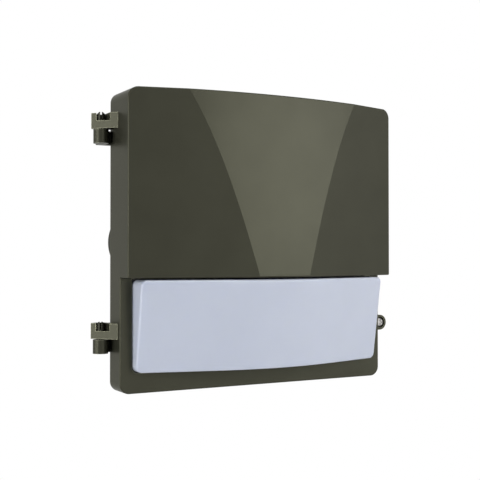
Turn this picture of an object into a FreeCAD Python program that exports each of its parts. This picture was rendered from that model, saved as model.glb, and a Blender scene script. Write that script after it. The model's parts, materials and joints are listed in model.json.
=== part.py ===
"""Wall pack light: a die-cast back box on the wall, a hinged die-cast door with a
faceted hood, and a vaulted lens under the hood.

Frame: +Z up, the front faces -Y, the wall is the plane Y = 0, and the origin is
the centre of the back box's rear face.
"""

import FreeCAD
import Part
import Sketcher
import math
import os
import re

SIZES = [
    # Door casting, lengths forward of the door's rear plane
    ("door_width", 260.0, "overall width of the door"),
    ("door_corner", 8.5, "corner radius of the door outline"),
    ("door_wall", 3.2, "wall of the hood and the lens frame"),
    ("door_rim", 6.5, "width of the door's side walls at the seal"),
    ("edge_round", 1.2, "rounding of the door's front edges"),
    ("frame_depth", 22.7, "depth of the lens frame"),
    ("frame_side", 10.0, "side bars of the lens frame"),
    ("frame_bottom", 16.5, "bottom bar of the lens frame"),
    ("frame_corner", 6.0, "corner radius of the lens opening"),
    ("hood_height", 154.0, "height of the hood"),
    ("window_height", 78.5, "height of the lens opening below the hood"),
    ("hood_side_depth", 39.7, "depth of the hood at its sides"),
    ("facet_angle", 14.7, "angle of the side facets to the wall, degrees"),
    ("brow_radius", 490.0, "radius of the middle facet"),
    ("brow_depth_top", 59.2, "depth of the middle facet at the top edge"),
    ("brow_tilt", 3.3, "lean of the middle facet, degrees"),
    ("rib_thickness", 2.4, "ribs inside the hood"),
    ("rib_height", 7.0, "ribs inside the hood"),
    ("rib_spacing", 36.0, "distance between neighbouring ribs"),
    # Lens
    ("lens_gap", 1.2, "gap between the lens and its frame"),
    ("lens_top_gap", 1.7, "gap between the lens and the hood"),
    ("lens_wall", 2.8, "wall of the lens"),
    ("lens_corner", 5.0, "corner radius of the lens"),
    ("lens_round", 1.5, "rounding of the lens's front edges"),
    ("lens_side_depth", 7.3, "lens forward of its frame at the lower corners"),
    ("lens_tilt", 9.4, "lean of the lens front, degrees"),
    ("lens_nose_radius", 215.0, "radius of the lens's middle"),
    ("lens_flange", 2.5, "thickness of the lens flange"),
    ("flange_overlap", 3.2, "width of the lens flange behind its frame"),
    ("lens_seal", 1.0, "thickness of the lens gasket"),
    ("lip_sink", 0.8, "gasket's lip below the front of the lens frame"),
    # Back box
    ("box_width", 228.0, "width of the box body"),
    ("box_height", 207.0, "height of the box body"),
    ("box_depth", 42.0, "wall to the rear plane of the door"),
    ("box_wall", 3.5, "walls of the box"),
    ("box_corner", 10.0, "corner radius of the box body"),
    ("flange_inset", 1.7, "box flange inside the door outline"),
    ("flange_thickness", 3.0, "thickness of the box flange"),
    # Seal between door and box
    ("seal_gap", 1.0, "gap between the door and the box flange"),
    ("seal_inset", 2.1, "outer wall of the seal groove"),
    ("seal_width", 3.0, "width of the door gasket"),
    ("seal_groove", 2.2, "depth of the seal groove"),
    ("seal_clearance", 0.15, "side play of the gasket in its groove"),
    # Wall holes and conduit entries
    ("wall_hole", 3.3, "radius of the wall holes"),
    ("wall_hole_width", 160.0, "distance of the wall holes across"),
    ("wall_hole_height", 140.0, "distance of the wall holes up"),
    ("outlet_hole", 2.4, "radius of the junction box holes"),
    ("outlet_spacing", 88.9, "distance of the junction box holes"),
    ("rear_entry", 11.0, "radius of the rear wire entry"),
    ("conduit_bore", 10.5, "radius of the half inch conduit entries"),
    ("conduit_setback", 20.0, "conduit entries forward of the wall"),
    ("conduit_boss", 14.5, "radius of the conduit bosses"),
    ("conduit_boss_height", 6.0, "conduit bosses inside the box"),
    ("plug_flange", 16.0, "radius of a conduit plug's head"),
    ("plug_head", 3.6, "thickness of a conduit plug's head"),
    ("plug_seal", 1.4, "thickness of a plug gasket"),
    ("plug_bevel", 3.2, "width of the bevel round a plug's head"),
    ("plug_edge", 2.2, "upright edge of a plug's head"),
    ("plug_wall", 2.6, "wall of a hollow plug"),
    ("plug_slot_length", 16.0, "length of the slot in a plug's head"),
    ("plug_slot_width", 2.6, "width of the slot in a plug's head"),
    ("thread_clearance", 0.05, "radial clearance of screws and pins"),
    # Hinges
    ("hinge_reach", 9.3, "hinge axis outside the door's side"),
    ("hinge_setback", 2.6, "hinge axis forward of the door's rear plane"),
    ("hinge_below_top", 24.45, "upper arm's middle below the door's top edge"),
    ("hinge_above_foot", 50.95, "lower arm's middle above the door's bottom edge"),
    ("arm_height", 12.8, "height of a hinge arm"),
    ("arm_front", 17.2, "arm's front corner forward of the door's rear plane"),
    ("eye_radius", 8.0, "radius of the arm's round eye"),
    ("notch_width", 8.6, "width of the notch for the pin's head"),
    ("notch_depth", 6.4, "depth of the notch for the pin's head"),
    ("notch_back", 6.0, "notch behind the hinge axis"),
    ("knuckle_radius", 6.3, "radius of a hinge knuckle"),
    ("knuckle_height", 11.5, "height of a hinge knuckle"),
    ("hinge_gap", 0.7, "gap between arm and knuckle"),
    ("bracket_width", 6.0, "width of the knuckle's bracket"),
    ("pin_radius", 2.4, "radius of a hinge pin"),
    ("pin_head_radius", 3.15, "radius of a pin's head"),
    ("pin_head_height", 7.5, "height of a pin's head"),
    ("pin_dome", 1.5, "height of the dome on a pin's head"),
    ("pin_slot", 1.4, "width of the slot in a split pin"),
    ("pin_slot_floor", 1.1, "pin's slot above the head's seat"),
    ("pin_turn", 20.0, "turn of the slot about the pin's axis, degrees"),
    # Closure
    ("lug_reach", 6.9, "lug centre outside the door's side"),
    ("lug_below_top", 32.0, "upper lug below the door's top edge"),
    ("lug_above_foot", 49.3, "lower lug above the door's bottom edge"),
    ("lug_radius", 7.1, "radius of a lug"),
    ("lug_setback", 2.0, "lug's rear face forward of the door's rear plane"),
    ("lug_depth", 14.0, "depth of a door lug"),
    ("box_lug_radius", 6.3, "radius of a lug on the box"),
    ("box_lug_depth", 9.0, "depth of a lug on the box"),
    ("screw_radius", 2.4, "shank radius of a closure screw"),
    ("screw_head_radius", 4.7, "head radius of a closure screw"),
    ("screw_head_height", 2.7, "head height of a closure screw"),
    ("screw_sink", 2.4, "head recess in a door lug"),
    ("screw_seat", 2.4, "web under a screw's head"),
    ("screw_grip", 7.0, "closure screw inside the box lug"),
    ("washer_radius", 4.2, "radius of a captive washer"),
    ("washer_thickness", 1.2, "thickness of a captive washer"),
    # Light engine
    ("tray_thickness", 2.5, "thickness of the tray"),
    ("tray_gap", 0.9, "gap between the tray and the door"),
    ("tray_top", 9.0, "tray above the hood's floor"),
    ("tray_boss", 3.0, "radius of the tray bosses"),
    ("tray_boss_spread", 90.0, "tray bosses to the left and right of the middle"),
    ("board_width", 204.0, "width of the board"),
    ("board_height", 31.0, "height of the board"),
    ("board_thickness", 1.6, "thickness of the board"),
    ("pad_thickness", 0.5, "thickness of the thermal pad"),
    ("chip_size", 3.2, "side of a light chip"),
    ("chip_height", 0.7, "height of a light chip"),
    ("chip_rows", 2, "rows of light chips"),
    ("chip_columns", 14, "columns of light chips"),
    ("chip_row_spacing", 13.0, "distance of the chip rows"),
    ("chip_column_spacing", 13.0, "distance of the chip columns"),
    ("reflector_depth", 3.6, "depth of the reflector"),
    ("reflector_rim", 1.2, "front rim of the reflector"),
    ("small_screw", 1.5, "shank radius of the small screws"),
    ("small_head", 2.8, "head radius of the small screws"),
    ("small_head_height", 1.8, "head height of the small screws"),
    ("small_screw_depth", 6.0, "depth of the tray screws' threads"),
    ("blind_end", 1.0, "thread below the tip of its screw"),
    ("board_margin_side", 5.6, "board screws from the board's ends"),
    ("board_margin", 4.2, "board screws from the board's long edges"),
    ("head_flat", 0.62, "flat of a screw's head, as a share of its radius"),
    ("head_edge", 0.45, "upright edge of a screw's head, as a share of its height"),
    ("tip_share", 0.67, "tip of a screw, as a share of its shank"),
    ("cross_length", 0.6, "half length of a cross recess, as a share of the head's radius"),
    ("cross_width", 0.1, "half width of a cross recess, as a share of the head's radius"),
    # Parts inside the back box
    ("driver_width", 112.0, "width of the driver's case"),
    ("driver_height", 42.0, "height of the driver's case"),
    ("driver_depth", 24.0, "depth of the driver's case"),
    ("driver_level", 52.0, "height of the driver above the middle"),
    ("driver_foot", 12.0, "foot of the driver's base beyond its case"),
    ("driver_plate", 1.5, "thickness of the driver's base"),
    ("boss_height", 3.0, "height of the bosses in the box"),
    ("boss_radius", 5.0, "radius of the bosses in the box"),
    ("terminal_width", 42.0, "width of the terminal block"),
    ("terminal_height", 20.0, "height of the terminal block"),
    ("terminal_depth", 15.0, "depth of the terminal block"),
    ("terminal_level", -50.0, "height of the terminal block"),
    ("connector_width", 10.0, "width of the board connector"),
    ("connector_height", 6.0, "height of the board connector"),
    ("connector_depth", 4.0, "depth of the board connector"),
    ("connector_port", 0.75, "radius of a port in the board connector"),
    ("connector_inset", 11.2, "board connector from the board's end"),
    ("brow_side", 62.0, "first rib beside the middle"),
    ("seal_bend", 4.0, "seal corners rounder than the door's outline"),
    ("soft_gap", 0.2, "play between the gasket and the box"),
    ("lug_clearance", 0.4, "radial clearance of a closure screw in its lug"),
    ("head_clearance", 0.5, "radial clearance round a closure screw's head"),
    ("pin_chamfer", 0.6, "chamfer of a hinge pin's tip"),
    ("terminal_pitch", 10.0, "distance of the terminals"),
    ("terminal_margin", 3.8, "terminal screws from the block's ends"),
    ("terminal_port", 2.5, "radius of a wire port in the terminal block"),
    ("terminal_port_depth", 6.7, "depth of a wire port in the terminal block"),
    ("clamp_length", 3.75, "shank of a clamp screw"),
    ("ground_side", 60.0, "ground screw right of the middle"),
    ("ground_plate", 1.0, "thickness of the ground washer"),
    ("ground_level", -50.0, "height of the ground screw"),
    ("cut_margin", 1.0, "cuts run this far past a casting's faces"),
]

# Places that several pieces share, as expressions of the sizes above
DOOR_BACK = "(-box_depth)"
SEAL_FACE = "(-box_depth + seal_gap)"
FRAME_FRONT = "(-box_depth - frame_depth)"
FRAME_BACK = "(-box_depth - frame_depth + door_wall)"
FLANGE_FRONT = "(-box_depth - frame_depth + door_wall + lens_seal)"
TRAY_FRONT = "(-box_depth - frame_depth + door_wall + lens_seal + lens_flange)"
HALF_WIDTH = "(door_width / 2)"
DOOR_HEIGHT = "(hood_height + window_height + frame_bottom)"
HALF_HEIGHT = f"({DOOR_HEIGHT} / 2)"
HOOD_FLOOR = f"({HALF_HEIGHT} - hood_height)"
OPENING_HALF = "(door_width / 2 - frame_side)"
OPENING_BOTTOM = f"(frame_bottom - {HALF_HEIGHT})"
HINGE_X = "(-door_width / 2 - hinge_reach)"
HINGE_Y = "(-box_depth - hinge_setback)"
HINGE_HIGH = f"({HALF_HEIGHT} - hinge_below_top)"
HINGE_LOW = f"(hinge_above_foot - {HALF_HEIGHT})"
ARM_FRONT = "(-box_depth - arm_front)"
LUG_X = "(door_width / 2 + lug_reach)"
LUG_FRONT = "(-box_depth - lug_setback - lug_depth)"
LUG_HIGH = f"({HALF_HEIGHT} - lug_below_top)"
LUG_LOW = f"(lug_above_foot - {HALF_HEIGHT})"
SCREW_SEAT = "(-box_depth - lug_setback - lug_depth + screw_sink)"
BOARD_LEVEL = f"(({OPENING_BOTTOM} + {HOOD_FLOOR}) / 2)"
TRAY_SCREW_TOP = f"({HOOD_FLOOR} + door_wall + tray_boss)"
TRAY_SCREW_BOTTOM = f"(door_rim + tray_boss - {HALF_HEIGHT})"

CAVITY_HALF_WIDTH = "(door_width / 2 - door_rim)"
CAVITY_HALF_HEIGHT = f"({HALF_HEIGHT} - door_rim)"
CAVITY_CORNER = "(door_corner - door_rim / 2)"
LENS_FLANGE_HALF = "(door_width / 2 - frame_side + flange_overlap)"
LENS_FLANGE_BOTTOM = f"({OPENING_BOTTOM} - flange_overlap)"
LENS_FLANGE_TOP = f"({HOOD_FLOOR} + door_wall)"

# Longer than any cut through the whole door
LONG_CUT = f"(4 * {DOOR_HEIGHT})"

# Measured lengths below this count as nothing when edges are picked
TINY = 0.05

DOC = FreeCAD.newDocument("wall_pack_light")
SHEET = DOC.addObject("Spreadsheet::Sheet", "sizes")


# --- Helpers ---------------------------------------------------------------

def fill_sheet():
    """Write every driving dimension into the sheet under its own alias."""
    for row, (alias, value, meaning) in enumerate(SIZES, start=1):
        SHEET.set(f"A{row}", meaning)
        SHEET.set(f"B{row}", str(value))
        SHEET.setAlias(f"B{row}", alias)
    DOC.recompute()


def linked(text):
    """The same expression with each alias read from the sheet."""
    names = "|".join(sorted((alias for alias, _, _ in SIZES), key=len, reverse=True))
    return re.sub(rf"\b({names})\b", r"sizes.\1", str(text))


def number(text):
    """Present value of an expression of the sizes."""
    return float(SHEET.evalExpression(linked(text).replace("sizes.", "")))


def bind(item, path, text):
    """Tie a property of a document object to an expression of the sizes."""
    item.setExpression(path, linked(text))


def minus(text):
    """The expression with its sign turned."""
    return f"(0 - {text})"


def new_body(label):
    """An empty body under its own label."""
    body = DOC.addObject("PartDesign::Body", label)
    body.Label = label
    return body


def place(item, x="0", y="0", z="0", rotation=None):
    """Put a piece at a point given by expressions."""
    if rotation is not None:
        item.Placement = FreeCAD.Placement(FreeCAD.Vector(), rotation)
    for axis, text in zip("xyz", (x, y, z)):
        bind(item, f"Placement.Base.{axis}", text)


def new_sketch(body, plane, offset="0"):
    """A sketch on one of the body's own origin planes, moved along its normal.

    XY looks up; XZ has its normal towards the front, so an offset there is a
    distance from the wall; YZ has its normal to the right.
    """
    sketch = body.newObject("Sketcher::SketchObject", f"{body.Name}_sketch")
    planes = [item for item in body.Origin.OriginFeatures if item.Role == f"{plane}_Plane"]
    sketch.AttachmentSupport = [(planes[0], "")]
    sketch.MapMode = "FlatFace"
    bind(sketch, "AttachmentOffset.Base.z", offset)
    return sketch


def lean(sketch, axis, angle):
    """Turn the sketch's plane about an axis through its own origin."""
    turned = FreeCAD.Rotation(axis, number(angle))
    sketch.AttachmentOffset = FreeCAD.Placement(FreeCAD.Vector(), turned)
    bind(sketch, "AttachmentOffset.Rotation.Angle", angle)


def pin_point(sketch, geometry, position, point):
    """Hold a point of the sketch at two expressions."""
    for kind, text in zip(("DistanceX", "DistanceY"), point):
        rule = Sketcher.Constraint(kind, -1, 1, geometry, position, number(text))
        index = sketch.addConstraint(rule)
        bind(sketch, f"Constraints[{index}]", text)


def hold_radius(sketch, geometry, radius):
    """Hold the radius of a circle or arc at an expression."""
    index = sketch.addConstraint(Sketcher.Constraint("Radius", geometry, number(radius)))
    bind(sketch, f"Constraints[{index}]", radius)


def flat_vector(point):
    """Present place of a sketch point given by two expressions."""
    return FreeCAD.Vector(number(point[0]), number(point[1]), 0)


def draw_polygon(sketch, corners):
    """A closed outline of straight lines through the given corners."""
    first = sketch.GeometryCount
    count = len(corners)
    for index, corner in enumerate(corners):
        following = corners[(index + 1) % count]
        sketch.addGeometry(Part.LineSegment(flat_vector(corner), flat_vector(following)))
    for index, corner in enumerate(corners):
        following = first + (index + 1) % count
        sketch.addConstraint(Sketcher.Constraint("Coincident", first + index, 2, following, 1))
        pin_point(sketch, first + index, 1, corner)


def draw_rectangle(sketch, left, bottom, right, top):
    """An upright rectangle between four expressions."""
    draw_polygon(sketch, [(left, bottom), (right, bottom), (right, top), (left, top)])


def draw_circle(sketch, centre, radius):
    """A circle held by its centre and its radius."""
    normal = FreeCAD.Vector(0, 0, 1)
    circle = sketch.addGeometry(Part.Circle(flat_vector(centre), normal, number(radius)))
    pin_point(sketch, circle, 3, centre)
    hold_radius(sketch, circle, radius)


def draw_rounded(sketch, left, bottom, right, top, radius):
    """An upright rectangle with four equal round corners."""
    normal = FreeCAD.Vector(0, 0, 1)
    centres = [
        (f"({left} + {radius})", f"({bottom} + {radius})"),
        (f"({right} - {radius})", f"({bottom} + {radius})"),
        (f"({right} - {radius})", f"({top} - {radius})"),
        (f"({left} + {radius})", f"({top} - {radius})"),
    ]
    size = number(radius)
    arcs = []
    for turn, centre in enumerate(centres):
        start = math.pi + turn * math.pi / 2
        circle = Part.Circle(flat_vector(centre), normal, size)
        arcs.append(sketch.addGeometry(Part.ArcOfCircle(circle, start, start + math.pi / 2)))
    for index, arc in enumerate(arcs):
        following = arcs[(index + 1) % 4]
        start = sketch.getPoint(arc, 2)
        end = sketch.getPoint(following, 1)
        line = sketch.addGeometry(Part.LineSegment(start, end))
        sketch.addConstraint(Sketcher.Constraint("Tangent", arc, 2, line, 1))
        sketch.addConstraint(Sketcher.Constraint("Tangent", line, 2, following, 1))
    for arc, centre in zip(arcs, centres):
        pin_point(sketch, arc, 3, centre)
        hold_radius(sketch, arc, radius)


def pad(body, sketch, length, midplane=False):
    """Raise the sketch along its normal."""
    feature = body.newObject("PartDesign::Pad", f"{body.Name}_pad")
    feature.Profile = sketch
    feature.Midplane = midplane
    feature.Refine = False
    bind(feature, "Length", length)
    return settled(feature)


def pocket(body, sketch, length, reverse=False, midplane=False):
    """Sink the sketch against its normal, or along it when reversed."""
    before = body.Tip.Shape.Volume
    feature = body.newObject("PartDesign::Pocket", f"{body.Name}_pocket")
    feature.Profile = sketch
    feature.Midplane = midplane
    feature.Reversed = reverse
    feature.Refine = False
    bind(feature, "Length", length)
    settled(feature)
    if feature.Shape.Volume > before - 1e-3:
        raise RuntimeError(f"{feature.Name} cuts nothing from {body.Label}")
    return feature


def settled(feature):
    """Recompute the feature with what it is made from, and refuse it if it failed."""
    feature.recompute(True)
    if "Invalid" in feature.State or "Error" in feature.State or feature.Shape.isNull():
        raise RuntimeError(f"{feature.Name} failed")
    return feature


def revolve(body, sketch, axis="V_Axis"):
    """Turn the sketch once round its own upright or level axis."""
    feature = body.newObject("PartDesign::Revolution", f"{body.Name}_turned")
    feature.Profile = sketch
    feature.ReferenceAxis = (sketch, [axis])
    feature.Angle = 360
    return settled(feature)


def fillet(body, wanted, radius):
    """Round the edges of the body for which wanted(edge) is true."""
    base = body.Tip
    if not base.isDerivedFrom("PartDesign::Fillet"):
        base.Refine = True
        settled(base)
    edges = [
        f"Edge{index}"
        for index, edge in enumerate(base.Shape.Edges, start=1)
        if wanted(edge)
    ]
    feature = body.newObject("PartDesign::Fillet", f"{body.Name}_round")
    feature.Base = (base, edges)
    bind(feature, "Radius", radius)
    return settled(feature)


def near(value, text, slack=TINY):
    """True where a measured value lies at an expression."""
    return abs(value - number(text)) < slack


def group(label, master, places):
    """Copies of one piece under one label, as separate solids."""
    master.recompute(True)
    solids = []
    for placement in places:
        copy = master.Shape.copy()
        copy.Placement = placement.multiply(copy.Placement)
        solids.append(copy)
    item = DOC.addObject("Part::Feature", label)
    item.Label = label
    item.Shape = Part.makeCompound(solids)
    return item


def spot(x, y, z, rotation=None):
    """A placement at a point given by expressions."""
    point = FreeCAD.Vector(number(x), number(y), number(z))
    return FreeCAD.Placement(point, rotation or FreeCAD.Rotation())


# --- Door ------------------------------------------------------------------

def hood_form(body, inset, wall, floor, rear, corner):
    """The hood's solid form: two flat facets, cut back by the leaning middle facet.

    The inside is the same form, inset at its sides and thinner by the wall.
    """
    half = f"({HALF_WIDTH} - {inset})"
    slope = "tan(facet_angle)"
    back_off = f"{wall} / cos(facet_angle)"
    side = f"(-box_depth - hood_side_depth - {inset} * {slope} + {back_off})"
    ridge = f"(-box_depth - hood_side_depth - {HALF_WIDTH} * {slope} + {back_off})"
    plan = new_sketch(body, "XY", floor)
    draw_polygon(plan, [
        (minus(half), rear), (minus(half), side), ("0", ridge), (half, side), (half, rear),
    ])
    pad(body, plan, f"{HALF_HEIGHT} - {inset} - {floor}")
    cut_brow(body, wall)
    top = f"{HALF_HEIGHT} - {inset}"
    corners = lambda edge: (
        near(edge.BoundBox.XLength + edge.BoundBox.ZLength, "0")
        and near(edge.BoundBox.ZMin, top)
        and near(abs(edge.BoundBox.XMin), half)
    )
    fillet(body, corners, corner)


def cut_brow(body, wall):
    """Cut the middle facet: a wide cylinder that leans forward towards its foot."""
    sketch = new_sketch(body, "XY")
    lean(sketch, FreeCAD.Vector(-1, 0, 0), "brow_tilt")
    bind(sketch, "AttachmentOffset.Base.y", f"-box_depth - brow_depth_top + {wall}")
    bind(sketch, "AttachmentOffset.Base.z", HALF_HEIGHT)
    radius = f"(brow_radius - {wall})"
    reach = HALF_WIDTH
    rise = f"({radius} - sqrt({radius} * {radius} - {reach} * {reach}))"
    front = minus(HALF_WIDTH)
    normal = FreeCAD.Vector(0, 0, 1)
    circle = Part.Circle(flat_vector(("0", radius)), normal, number(radius))
    spread = math.asin(number(reach) / number(radius))
    start = -math.pi / 2 - spread
    arc = sketch.addGeometry(Part.ArcOfCircle(circle, start, start + 2 * spread))
    corners = [(reach, rise), (reach, front), (minus(reach), front), (minus(reach), rise)]
    lines = [
        sketch.addGeometry(Part.LineSegment(flat_vector(first), flat_vector(second)))
        for first, second in zip(corners, corners[1:])
    ]
    for first, second in zip(lines, lines[1:]):
        sketch.addConstraint(Sketcher.Constraint("Coincident", first, 2, second, 1))
    sketch.addConstraint(Sketcher.Constraint("Coincident", arc, 2, lines[0], 1))
    sketch.addConstraint(Sketcher.Constraint("Coincident", lines[2], 2, arc, 1))
    for line, corner in zip(lines, corners):
        pin_point(sketch, line, 1, corner)
    pin_point(sketch, lines[2], 2, corners[3])
    hold_radius(sketch, arc, radius)
    pocket(body, sketch, LONG_CUT, midplane=True)


def make_hood_core():
    """The hollow of the hood, as a body that the door is cut with."""
    body = new_body("hood_core")
    floor = f"({HOOD_FLOOR} + door_wall)"
    hood_form(body, "door_rim", "door_wall", floor, f"({DOOR_BACK} + door_rim)",
              "(door_corner - door_rim / 2)")
    return body


def make_door():
    """The door casting."""
    core = make_hood_core()
    body = new_body("door")
    hood_form(body, "0", "0", HOOD_FLOOR, DOOR_BACK, "door_corner")
    frame = new_sketch(body, "XZ", "box_depth")
    draw_rounded(frame, minus(HALF_WIDTH), minus(HALF_HEIGHT), HALF_WIDTH,
                 f"({HOOD_FLOOR} + 2 * door_corner)", "door_corner")
    pad(body, frame, "frame_depth")
    round_front(body)
    cut_inside(body, core)
    add_ribs(body)
    add_tray_bosses(body)
    cut_seal_groove(body)
    for level in (HINGE_HIGH, HINGE_LOW):
        add_hinge_arm(body, level)
    add_door_lugs(body)
    return body


def round_front(body):
    """Round the front edges of the hood and the lens frame."""
    small = number("(1.5 * door_corner)")

    def wanted(edge):
        box = edge.BoundBox
        level = box.ZLength < TINY
        forward = box.YMax < number(FRAME_FRONT) + TINY
        at_side = near(max(abs(box.XMin), abs(box.XMax)), HALF_WIDTH) and box.XLength < TINY
        at_top = near(box.ZMin, HALF_HEIGHT) and level
        at_floor = near(box.ZMax, HOOD_FLOOR) and level and box.XLength > small
        at_bottom = near(box.ZMax, minus(HALF_HEIGHT)) and box.YLength < TINY
        bent = edge.Curve.TypeId != "Part::GeomLine"
        corner = bent and box.XLength < small and box.YLength < small / 3
        return forward and (at_side or at_top or at_floor or at_bottom or corner)

    fillet(body, wanted, "edge_round")


def cut_inside(body, core):
    """Hollow the casting from behind and open its frame for the lens."""
    inside = new_sketch(body, "XZ", "box_depth")
    draw_rounded(inside, minus(CAVITY_HALF_WIDTH), minus(CAVITY_HALF_HEIGHT),
                 CAVITY_HALF_WIDTH, CAVITY_HALF_HEIGHT, CAVITY_CORNER)
    pocket(body, inside, "frame_depth - door_wall", reverse=True)
    hollow = body.newObject("PartDesign::Boolean", "door_hollow")
    hollow.Type = "Cut"
    hollow.setObjects([core])
    settled(hollow)
    opening = new_sketch(body, "XZ", minus(FRAME_FRONT))
    draw_opening(opening)
    pocket(body, opening, "door_wall")


def draw_opening(sketch):
    """The lens opening: round at its lower corners, closed above by the hood's floor."""
    half = number(OPENING_HALF)
    bottom = number(OPENING_BOTTOM)
    top = number(HOOD_FLOOR)
    radius = number("frame_corner")
    normal = FreeCAD.Vector(0, 0, 1)
    centres = [
        (f"(frame_corner - {OPENING_HALF})", f"({OPENING_BOTTOM} + frame_corner)"),
        (f"({OPENING_HALF} - frame_corner)", f"({OPENING_BOTTOM} + frame_corner)"),
    ]
    arcs = []
    for turn, centre in enumerate(centres):
        start = math.pi + turn * math.pi / 2
        circle = Part.Circle(flat_vector(centre), normal, radius)
        arcs.append(sketch.addGeometry(Part.ArcOfCircle(circle, start, start + math.pi / 2)))
    ends = [
        ((-half, top), (-half, bottom + radius)),
        ((radius - half, bottom), (half - radius, bottom)),
        ((half, bottom + radius), (half, top)),
        ((half, top), (-half, top)),
    ]
    left, low, right, high = [
        sketch.addGeometry(Part.LineSegment(FreeCAD.Vector(*start, 0), FreeCAD.Vector(*end, 0)))
        for start, end in ends
    ]
    for first, second in ((left, arcs[0]), (arcs[0], low), (low, arcs[1]), (arcs[1], right)):
        sketch.addConstraint(Sketcher.Constraint("Tangent", first, 2, second, 1))
    sketch.addConstraint(Sketcher.Constraint("Coincident", right, 2, high, 1))
    sketch.addConstraint(Sketcher.Constraint("Coincident", high, 2, left, 1))
    for arc, centre in zip(arcs, centres):
        pin_point(sketch, arc, 3, centre)
        hold_radius(sketch, arc, "frame_corner")
    pin_point(sketch, high, 1, (OPENING_HALF, HOOD_FLOOR))
    pin_point(sketch, high, 2, (minus(OPENING_HALF), HOOD_FLOOR))


def add_ribs(body):
    """Upright ribs behind the flat facets of the hood."""
    floor = f"({HOOD_FLOOR} + door_wall / 2)"
    for side in (-1, 1):
        for place_in_row in (1, 2):
            middle = f"({side} * (brow_side + {place_in_row - 1} * rib_spacing))"
            distance = f"({HALF_WIDTH} - brow_side - {place_in_row - 1} * rib_spacing)"
            inner = (f"(-box_depth - hood_side_depth - {distance} * tan(facet_angle)"
                     " + door_wall / cos(facet_angle))")
            rib = new_sketch(body, "XY", floor)
            draw_rectangle(rib, f"({middle} - rib_thickness / 2)", f"({inner} - door_wall / 4)",
                           f"({middle} + rib_thickness / 2)", f"({inner} + rib_height)")
            pad(body, rib, f"{HALF_HEIGHT} - door_rim / 2 - {floor}")


def add_tray_bosses(body):
    """Screw bosses for the tray: two behind the hood, three behind the lower bar."""
    facet = "(door_width / 2 - tray_boss_spread) * tan(facet_angle)"
    deep = f"({TRAY_FRONT} + box_depth + hood_side_depth + {facet} - door_wall / 2)"
    shallow = f"({TRAY_FRONT} - {FRAME_BACK} + door_wall / 2)"
    rows = (
        (TRAY_SCREW_TOP, ("-tray_boss_spread", "tray_boss_spread"), deep),
        (TRAY_SCREW_BOTTOM, ("-tray_boss_spread", "0", "tray_boss_spread"), shallow),
    )
    for level, columns, length in rows:
        boss = new_sketch(body, "XZ", minus(TRAY_FRONT))
        thread = new_sketch(body, "XZ", minus(TRAY_FRONT))
        for column in columns:
            draw_circle(boss, (column, level), "tray_boss")
            draw_circle(thread, (column, level), "(small_screw + thread_clearance)")
        pad(body, boss, length)
        pocket(body, thread, "small_screw_depth", reverse=True)


def draw_ring(sketch, inset, width):
    """A closed band parallel to the door's outline."""
    for offset in (inset, f"({inset} + {width})"):
        draw_rounded(sketch, f"({offset} - {HALF_WIDTH})", f"({offset} - {HALF_HEIGHT})",
                     f"({HALF_WIDTH} - {offset})", f"({HALF_HEIGHT} - {offset})",
                     f"(door_corner - {offset} + seal_bend)")


def cut_seal_groove(body):
    """The groove for the gasket in the door's rear rim."""
    ring = new_sketch(body, "XZ", "box_depth")
    draw_ring(ring, "seal_inset", "(seal_width + 2 * seal_clearance)")
    pocket(body, ring, "seal_groove", reverse=True)


def add_hinge_arm(body, level):
    """An arm with a slanting front, a round eye, a notch for the pin's head and a bore."""
    base = f"({level} - arm_height / 2)"
    top = f"({level} + arm_height / 2)"
    side = minus(HALF_WIDTH)
    inner = f"(seal_inset / 2 - {HALF_WIDTH})"
    span = f"(({HINGE_X} + {HINGE_Y} + {HALF_WIDTH} - {ARM_FRONT}) / 2)"
    arm = new_sketch(body, "XY", base)
    draw_polygon(arm, [
        (inner, ARM_FRONT), (side, ARM_FRONT), (f"({HINGE_X} - {span})", f"({HINGE_Y} - {span})"),
        (HINGE_X, DOOR_BACK), (inner, DOOR_BACK),
    ])
    pad(body, arm, "arm_height")
    eye = new_sketch(body, "XY", base)
    draw_circle(eye, (HINGE_X, HINGE_Y), "eye_radius")
    pad(body, eye, "arm_height")
    reach = "(hinge_reach + 2 * eye_radius)"
    slant = new_sketch(body, "XY", top)
    draw_polygon(slant, [
        (side, ARM_FRONT), (f"({side} - {reach})", f"({ARM_FRONT} + {reach})"),
        (f"({side} - {reach})", ARM_FRONT),
    ])
    pocket(body, slant, "arm_height")
    notch = new_sketch(body, "XY", top)
    draw_rectangle(notch, f"({HINGE_X} - notch_width / 2)", ARM_FRONT,
                   f"({HINGE_X} + notch_width / 2)", f"({HINGE_Y} + notch_back)")
    pocket(body, notch, "notch_depth")
    bore = new_sketch(body, "XY", top)
    draw_circle(bore, (HINGE_X, HINGE_Y), "(pin_radius + thread_clearance)")
    pocket(body, bore, "2 * arm_height")


def add_door_lugs(body):
    """The closure lugs: sunk screw heads in front, pockets for the captive washers behind."""
    back = "(box_depth + lug_setback)"
    lugs = new_sketch(body, "XZ", back)
    webs = new_sketch(body, "XZ", back)
    front = new_sketch(body, "XZ", minus(LUG_FRONT))
    through = new_sketch(body, "XZ", minus(LUG_FRONT))
    behind = new_sketch(body, "XZ", back)
    for level in (LUG_HIGH, LUG_LOW):
        draw_circle(lugs, (LUG_X, level), "lug_radius")
        draw_rectangle(webs, f"({HALF_WIDTH} - door_rim / 2)", f"({level} - lug_radius)",
                       LUG_X, f"({level} + lug_radius)")
        draw_circle(front, (LUG_X, level), "(screw_head_radius + head_clearance)")
        draw_circle(through, (LUG_X, level), "(screw_radius + lug_clearance)")
        draw_circle(behind, (LUG_X, level), "(washer_radius + lug_clearance)")
    pad(body, lugs, "lug_depth")
    pad(body, webs, "lug_depth")
    pocket(body, front, "screw_sink")
    pocket(body, through, "2 * lug_depth")
    pocket(body, behind, "(lug_depth - screw_sink - screw_seat)", reverse=True)


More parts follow.
